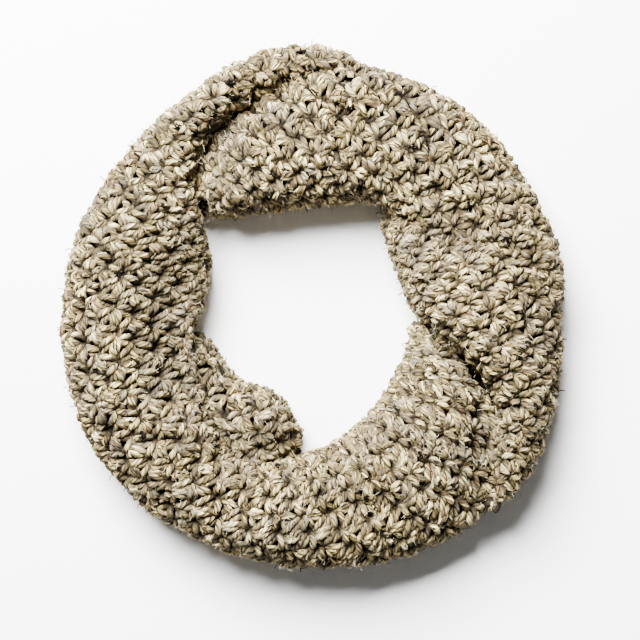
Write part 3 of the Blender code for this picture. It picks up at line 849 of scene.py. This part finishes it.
def shell(name, cloth, first, last):
    """A closed sheet a little inside the cloth's form, over the part that isn't hidden.

    It gives the object and the flat size, width by length in metres, of what it covers.
    """
    reach = run_on(cloth, cloth.bearings, cloth.cut, -SHELL_EDGE)
    s = cloth.s[None, :]
    shows = (s >= (cloth.low - reach)[:, None]) & (s <= (cloth.high - SHELL_EDGE)[:, None])
    shows &= ((cloth.bearings <= first) & (cloth.bearings >= last))[:, None]
    if cloth.name != "underside":
        shows[-2:] = False
    quads = shows[:-1, :-1] & shows[1:, :-1] & shows[:-1, 1:] & shows[1:, 1:]
    room = np.clip((cloth.high - cloth.low) / ROOMY, LEAST_ROOM, 1)
    room = smooth(room, SOFTEN_LINE)[:, None, None]
    points = cloth.grid + outwards(cloth.grid) * SHELL_LAY * room * cloth.facing
    points[:, :, 2] = np.maximum(points[:, :, 2], SHELL_LOWEST)
    rows, columns = shows.shape
    index = np.arange(rows * columns).reshape(rows, columns)
    faces = np.stack([index[:-1, :-1], index[1:, :-1], index[1:, 1:], index[:-1, 1:]], axis=2)
    faces = faces[quads]
    used, faces = np.unique(faces, return_inverse=True)
    faces = faces.reshape(-1, 4)
    mesh = new_mesh(name, (points.reshape(-1, 3)[used] * MM).tolist(), faces=faces.tolist())
    mesh.update()
    facing = sum(p.normal.z * p.area for p in mesh.polygons) * cloth.facing
    if facing < 0:
        mesh.flip_normals()
    mesh.shade_smooth()
    mesh.materials.append(shaded_wool)
    obj = new_object(name, mesh)
    thick = obj.modifiers.new("thickness", "SOLIDIFY")
    thick.thickness = SHELL_THICK * MM
    thick.offset = -1
    one = cloth.grid[1:, 1:] - cloth.grid[:-1, :-1]
    other = cloth.grid[1:, :-1] - cloth.grid[:-1, 1:]
    flat_area = 0.5 * np.linalg.norm(np.cross(one, other), axis=2)[quads].sum()
    flat_length = np.ptp(cloth.across[:, cloth.s.size // 2][shows.any(axis=1)])
    return obj, (round(flat_area / flat_length * MM, 3), round(flat_length * MM, 3))


# %% [markdown]
# ## Crocheting the stretches

# %% Rows of guide lines
# How many mm a row may lie past the edge of the cloth's form: at a foot on the table, and
# at an edge in a valley beside a neighbour, which is at least so many mm above the table.
MARGIN_FOOT = 1.5
MARGIN_VALLEY = {"rim": 7.0, "top": 7.0, "right": 14.0, "inner": 7.0, "underside": 7.0}
VALLEY = 8.0
ROW_MIDDLE = 6.5       # mm from a row's guide line to the middle of its stitches
FINE_TURN = 0.25       # degrees between the places where a row's ends are looked for
SHORTEST_ROW = 0.6     # stitches


def row_spans(cloth, first, last):
    """Where each row of crochet shows: (row, start, end), in stitches along."""
    fine = np.arange(cloth.bearings.min(), cloth.bearings.max(), FINE_TURN)
    order = np.argsort(cloth.bearings)
    low, high, cut = (np.interp(fine, cloth.bearings[order], values[order].astype(float))
                      for values in (cloth.low, cloth.high, cloth.cut))
    low = low - run_on(cloth, fine, cut > 0.5, MARGIN_FOOT)
    edge = np.array([np.interp(end, cloth.s, line[:, 2])
                     for end, line in zip(cloth.high, cloth.grid)])
    edge = np.interp(fine, cloth.bearings[order], edge[order])
    high = high + np.where(edge > VALLEY, MARGIN_VALLEY[cloth.name], MARGIN_FOOT)
    inside = (fine < first) & (fine >= last)
    spans = []
    for row in range(int(low.min() / ROW) - 1, int(high.max() / ROW) + 3):
        s = row * ROW - ROW_MIDDLE
        shows = (low <= s) & (s <= high) & inside
        edges = np.flatnonzero(np.diff(np.concatenate([[0], shows.astype(int), [0]])))
        column = np.array([np.interp(s, cloth.s, line) for line in cloth.across])
        u = np.interp(fine, cloth.bearings[order], column[order])
        for start, end in zip(edges[::2], edges[1::2]):
            a, b = u[start] / STITCH, u[end - 1] / STITCH
            if abs(a - b) > SHORTEST_ROW:
                spans.append((row, min(a, b), max(a, b)))
    return spans


def row_lines(name, spans):
    """Guide lines for a strand, as edges from stitch to stitch."""
    corners, edges = [], []
    for row, start, end in spans:
        stops = np.linspace(start, end, max(2, int(math.ceil(end - start)) + 1))
        edges += [(len(corners) + i, len(corners) + i + 1) for i in range(len(stops) - 1)]
        corners += [(x, row, 0) for x in stops]
    return new_object(name, new_mesh(name, corners, edges))


PIECE_SEED = 10.0      # from one piece of crochet to the next
STRAND_SEED = 7.0      # and from one strand of it to the next


def crocheted(name, cloth, spans, seed, ring_step=RING_STEP, corners=PROFILE):
    """One piece of crochet: all the strands of those rows, as one mesh object."""
    lines = row_lines(name + "_rows", spans)
    parts = []
    for number, strand in enumerate(STRANDS):
        mesh = run_tree(lines, crochet, {
            **{size.capitalize(): value for size, value in strand._asdict().items()},
            "Cloth": guides[cloth.name], "Wool": wool, "Corners": corners,
            "Ring step": ring_step, "Seed": seed,
            "Strand seed": seed + STRAND_SEED * (number + 1)})
        parts.append(new_object(name, mesh))
    bpy.data.objects.remove(lines)
    with bpy.context.temp_override(active_object=parts[0], selected_editable_objects=parts,
                                   selected_objects=parts, object=parts[0]):
        bpy.ops.object.join()
    piece = parts[0]
    piece.name = name
    stitches = sum(b - a for _, a, b in spans)
    print(f"{name}: {len(spans)} rows, {stitches:.0f} stitches, {triangles(piece)} triangles")
    return piece


# %% The pieces of cloth
# Each stretch has its shell and its crochet, cut at the bearings given.
Piece = namedtuple("Piece", "name first last")
Stretch = namedtuple("Stretch", "node cloth sheet crochet")
WHOLE = (400.0, -400.0)
STRETCHES = [
    Stretch("bottom_stretch", "rim", Piece("bottom_cloth", 400.0, 232.0),
            [Piece("bottom_right_crochet", 400.0, 288.0),
             Piece("bottom_left_crochet", 288.0, 232.0)]),
    Stretch("left_stretch", "rim", Piece("left_cloth", 232.0, 0.0),
            [Piece("left_lower_crochet", 232.0, 165.0),
             Piece("left_upper_crochet", 165.0, 80.3)]),
    Stretch("top_stretch", "top", Piece("top_cloth", *WHOLE),
            [Piece("top_left_crochet", 200.0, 82.0), Piece("top_right_crochet", 82.0, -40.0)]),
    Stretch("right_stretch", "right", Piece("right_cloth", *WHOLE),
            [Piece("right_crochet", *WHOLE)]),
    Stretch("inner_fold", "inner", Piece("inner_cloth", *WHOLE),
            [Piece("inner_crochet", *WHOLE)]),
    Stretch("hidden_layers", "underside", Piece("underside_cloth", *WHOLE),
            [Piece("underside_crochet", *WHOLE)]),
]
# Only the table sees the underside, so its yarn is made more coarsely:
UNDERSIDE_STEP = 3.7   # mm between its rings
UNDERSIDE_CORNERS = 6  # round it
crocheted_pieces = []
for stretch in STRETCHES:
    cloth = cloths[stretch.cloth]
    sheet, flat = shell(stretch.sheet.name, cloth, stretch.sheet.first, stretch.sheet.last)
    coarse = (UNDERSIDE_STEP, UNDERSIDE_CORNERS) if cloth.name == "underside" else ()
    for piece in stretch.crochet:
        spans = row_spans(cloth, piece.first, piece.last)
        seed = PIECE_SEED * (len(crocheted_pieces) + 1)
        made = crocheted(piece.name, cloth, spans, seed, *coarse)
        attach(made, "root")
        crocheted_pieces.append(made)
    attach(sheet, "root")
    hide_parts(stretch.node)
    print(f"{sheet.name}: {flat[0]} x {flat[1]} m when flat")
for guide in guides.values():
    bpy.data.objects.remove(guide)

# %% [markdown]
# ## Loose fibres and neps
#
# Wool is hairy. Fine fibres stand off the yarn, pale ones and dark ones, and show most
# against the white behind the outline. Neps are dark scraps of fleece caught in the
# spinning. Each fibre is one bent hair shape, set on the yarn, turned its own way.

# %% The tree that raises fibres
HAIR_POINTS = 4        # along a fibre
HAIR_CORNERS = 3       # round it
CRIMP_TURN = 5.0       # radians of its crimp from root to tip
CRIMP = 0.12           # the crimp's size, as a share of the fibre's length


def fibre_tree():
    """Points in, with a direction and a size each; bent hairs on them out."""
    tree, given = new_tree("loose_fibres", [("Fibre", "Material"), ("Thickness", "Float"),
                                            ("Spread", "Float"), ("Bend", "Float")])
    line = add(tree, "GeometryNodeCurvePrimitiveLine", {"End": (0.0, 0.0, 1.0)})
    line = add(tree, RESAMPLE, {"Curve": line, "Count": HAIR_POINTS})
    bend = work_out(tree, {"up": add(tree, SPLIT, [add(tree, POSITION)]).outputs["Z"],
                           "Bend": given["Bend"]}, [
        ("up 2", "MULTIPLY", "up", "up"),
        ("over", "MULTIPLY", "up 2", "Bend"),
        ("turn", "MULTIPLY", "up", CRIMP_TURN),
        ("wave", "SINE", "turn"),
        ("back", "MULTIPLY", "wave", CRIMP)])
    bent = add(tree, MOVE, {"Geometry": line,
                            "Offset": add(tree, JOIN, [bend["over"], bend["back"], 0.0])})
    ring = add(tree, "GeometryNodeCurvePrimitiveCircle",
               {"Resolution": HAIR_CORNERS, "Radius": given["Thickness"]})
    hair = add(tree, "GeometryNodeCurveToMesh", {"Curve": bent, "Profile Curve": ring})

    outward = add(tree, NAMED, {"Name": "outwards"}, data_type="FLOAT_VECTOR")
    size = add(tree, NAMED, {"Name": "size"}, data_type="FLOAT")
    off, spun = (add(tree, "FunctionNodeRandomValue", {0: (low,) * 3, 1: (high,) * 3,
                                                       "Seed": seed}, data_type="FLOAT_VECTOR")
                 for low, high, seed in ((-1.0, 1.0, 3), (0.0, math.tau, 8)))
    off = add(tree, VECTOR_MATH, {0: off, "Scale": given["Spread"]}, operation="SCALE")
    aim = add(tree, VECTOR_MATH, [outward, off], operation="ADD")
    turned = add(tree, "FunctionNodeAlignRotationToVector", {"Rotation": spun, "Vector": aim},
                 axis="Z")
    placed = add(tree, "GeometryNodeInstanceOnPoints",
                 {"Points": given["Geometry"], "Instance": hair, "Rotation": turned,
                  "Scale": add(tree, JOIN, [size, size, size])})
    return end_tree(tree, add(tree, REALIZE, {"Geometry": placed}), given["Fibre"])


fibres = fibre_tree()


# %% Roots on the yarn
FIBRE_FROM = 0.2       # mm above the cloth's outer form, where fibres may stand


def fibre_material(name, code):
    """One shade of loose wool fibre: dull, with next to no shine."""
    material, tree = new_material(name)
    end_material(tree, {"Base Color": linear(code), "Roughness": 0.9,
                        "Specular IOR Level": 0.03})
    return material


def yarn_surface(pieces):
    """Points of the yarn that show, and which way they face."""
    points, facing = [], []
    for piece in pieces:
        mesh = piece.data
        at = np.empty(len(mesh.vertices) * 3, np.float32)
        normal, lie = at.copy(), at.copy()
        mesh.vertices.foreach_get("co", at)
        mesh.vertex_normals.foreach_get("vector", normal)
        mesh.attributes["lie"].data.foreach_get("vector", lie)
        shows = lie.reshape(-1, 3)[:, 0] > FIBRE_FROM
        points.append(at.reshape(-1, 3)[shows])
        facing.append(normal.reshape(-1, 3)[shows])
    return np.concatenate(points), np.concatenate(facing)


def hairs(name, at, facing, sizes, material, thickness, spread, bend):
    """A piece of loose fibres."""
    mesh = new_mesh(name + "_roots", at.tolist())
    mesh.attributes.new("outwards", "FLOAT_VECTOR", "POINT").data.foreach_set(
        "vector", facing.astype(np.float32).ravel())
    mesh.attributes.new("size", "FLOAT", "POINT").data.foreach_set(
        "value", (sizes * MM).astype(np.float32))
    roots = new_object(name + "_roots", mesh)
    made = new_object(name, run_tree(roots, fibres, {
        "Fibre": material, "Thickness": thickness, "Spread": spread, "Bend": bend}))
    bpy.data.objects.remove(roots)
    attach(made, "root")
    print(f"{name}: {len(at)} fibres, {triangles(made)} triangles")


# %% Fuzz all over, and neps here and there
# Thickness is a share of a fibre's length. Spread says how far fibres may lean: 0 stands
# them straight up.
Fuzz = namedtuple("Fuzz", "name count code shortest longest thickness spread")
FUZZ = [
    #    name           count  code      shortest longest (mm) thickness spread
    Fuzz("pale_fibres",  2300, "#E8DBBC", 1.5, 4.5, 0.015, 0.9),
    Fuzz("dark_fibres",  1000, "#2B241C", 1.5, 5.0, 0.015, 0.9),
    Fuzz("black_fibres",  700, "#12100E", 1.8, 4.2, 0.09, 1.6),
]
# The bigger neps: mm from the ring's middle, and how large each is.
NEPS = [(-5, 158, 4.0), (-47, 136, 5.0), (-64, 27, 4.0), (-24, -97, 3.0), (-112, 88, 3.0),
        (-118, 20, 3.4), (-96, -14, 2.8), (-131, -40, 3.0), (-101, -77, 3.4), (-70, -60, 2.8),
        (-58, -83, 3.2), (-22, -128, 2.8), (30, -118, 3.0), (66, -92, 3.2), (101, -64, 3.4),
        (132, -12, 2.8), (120, 40, 3.0), (92, 62, 3.4), (62, 92, 2.8), (20, 122, 3.2),
        (-30, 112, 2.8), (52, 128, 3.0), (-84, 112, 3.4), (-140, 2, 3.0), (86, -112, 2.8)]
NEP_FIBRES = 14        # fibres in each nep
NEP_LENGTH = (0.35, 0.6)   # of a fibre, as a share of the nep's size
NEP_LOOSE = 0.22       # how far its roots stray from its middle, as such a share
NEP_THICK = 0.27       # its fibres' thickness and spread, as in the table above
NEP_SPREAD = 4.0
NEP_NEAR = 2.5         # mm round its place in which the highest yarn is sought
FUZZ_BEND = 0.5        # how far a fibre's tip falls over, as a share of its length
NEP_BEND = 0.9
rng = np.random.default_rng(11)
surface, surface_facing = yarn_surface([o for o in crocheted_pieces
                                        if o.name != "underside_crochet"])
for fuzz in FUZZ:
    pick = rng.choice(len(surface), fuzz.count, replace=False)
    hairs(fuzz.name, surface[pick], surface_facing[pick],
          rng.uniform(fuzz.shortest, fuzz.longest, fuzz.count),
          fibre_material(fuzz.name[:-1] + "_of_wool", fuzz.code), fuzz.thickness, fuzz.spread,
          FUZZ_BEND)
at, facing, sizes = [], [], []
for x, y, size in NEPS:
    near = np.hypot(surface[:, 0] / MM - RING_MIDDLE[0] / MM - x,
                    surface[:, 1] / MM - RING_MIDDLE[1] / MM - y)
    root = np.lexsort((-surface[:, 2], near > near.min() + NEP_NEAR))[0]
    at += [surface[root] + rng.normal(0, NEP_LOOSE * size * MM, 3) for _ in range(NEP_FIBRES)]
    facing += [surface_facing[root]] * NEP_FIBRES
    sizes += [size * rng.uniform(*NEP_LENGTH) for _ in range(NEP_FIBRES)]
hairs("neps", np.array(at), np.array(facing), np.array(sizes),
      fibre_material("black_nep_of_fleece", "#0E0B09"), NEP_THICK, NEP_SPREAD, NEP_BEND)

# %% Floor, light and camera
FLOOR = 3.0            # metres from its middle to each side
AMBIENT = 0.16         # the studio's light from all round
WINDOW_AT = (-0.41, 0.95, 1.08)   # metres
WINDOW_SIZE = 0.9
WINDOW_WATTS = 330
CAMERA_AT = (0.00378, -0.00816, 1.15)
CAMERA_LENS = 101.8    # mm, on a sensor 36 mm wide

corners = [(-FLOOR, -FLOOR, 0), (FLOOR, -FLOOR, 0), (FLOOR, FLOOR, 0), (-FLOOR, FLOOR, 0)]
floor_mesh = new_mesh("floor", corners, faces=[(0, 1, 2, 3)])
floor = new_object("floor", floor_mesh)
paper, tree = new_material("white_paper_sheet")   # quite matt, as paper is
end_material(tree, {"Base Color": linear("#FAFAFA"), "Roughness": 1.0})
floor_mesh.materials.append(paper)

world = bpy.data.worlds.new("studio")
bpy.context.scene.world = world
world.use_nodes = True
background = world.node_tree.nodes["Background"].inputs
background["Color"].default_value = (1, 1, 1, 1)
background["Strength"].default_value = AMBIENT

light_data = bpy.data.lights.new("window", "AREA")
light_data.size = WINDOW_SIZE
light_data.energy = WINDOW_WATTS
window = new_object("window", light_data)
window.location = WINDOW_AT
window.rotation_euler = (-window.location).to_track_quat("-Z", "Y").to_euler()

camera_data = bpy.data.cameras.new("above")
camera_data.sensor_width = 36
camera_data.lens = CAMERA_LENS
camera = new_object("above", camera_data)
camera.location = CAMERA_AT
bpy.context.scene.camera = camera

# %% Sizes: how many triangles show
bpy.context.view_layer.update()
shown = [o for o in bpy.data.objects if o.type == "MESH" and o.visible_get() and o != floor]
print("triangles:", sum(triangles(o) for o in shown))
